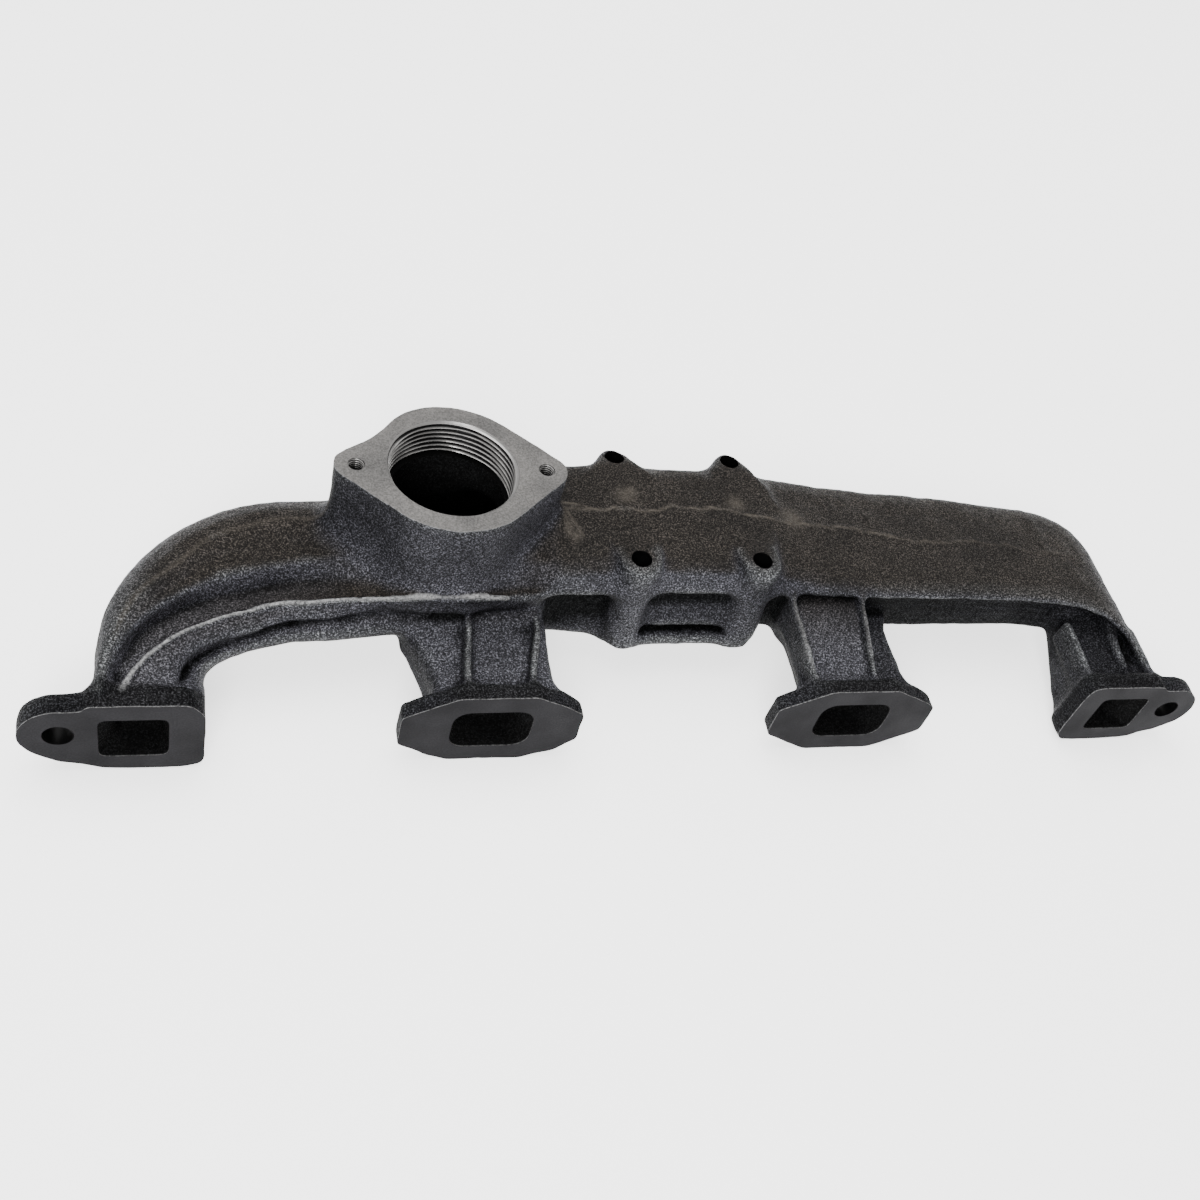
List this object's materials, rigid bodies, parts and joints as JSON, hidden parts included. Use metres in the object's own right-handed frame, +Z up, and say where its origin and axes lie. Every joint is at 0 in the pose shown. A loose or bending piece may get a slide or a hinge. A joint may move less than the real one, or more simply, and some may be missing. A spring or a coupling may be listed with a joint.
{
  "type": "exhaust manifold",
  "caption": "Log-style cast-iron exhaust manifold for an in-line engine, with an upward threaded outlet in a two-bolt flange and a flat bolting pad.",
  "frame": {"origin": "on the cylinder-head face, midway between the two end stud holes", "axes": "+X along the engine, from the outlet end towards the plain end; +Y away from the cylinder head; +Z up, the way the outlet points"},
  "size_m": [0.6746, 0.158, 0.1175],
  "materials": {
    "as_cast_iron": "dark, matt, sand-cast",
    "machined_iron": "dark grey, flat milled, slightly satin"
  },
  "bodies": {
    "root": {"left_end_flange": "machined_iron", "centre_left_flange": "machined_iron", "centre_right_flange": "machined_iron", "right_end_flange": "machined_iron", "left_end_runner": "as_cast_iron", "centre_left_runner": "as_cast_iron", "centre_right_runner": "as_cast_iron", "right_end_runner": "as_cast_iron", "left_log_elbow": "as_cast_iron", "outlet_chamber": "as_cast_iron", "bolting_chamber": "as_cast_iron", "right_log_section": "as_cast_iron", "right_log_elbow": "as_cast_iron", "outlet_neck": "as_cast_iron", "outlet_flange": "machined_iron", "front_left_bolt_column": "as_cast_iron", "front_right_bolt_column": "as_cast_iron", "rear_left_bolt_column": "as_cast_iron", "rear_right_bolt_column": "as_cast_iron", "lower_mounting_pad": "machined_iron"}
  },
  "joints": []
}
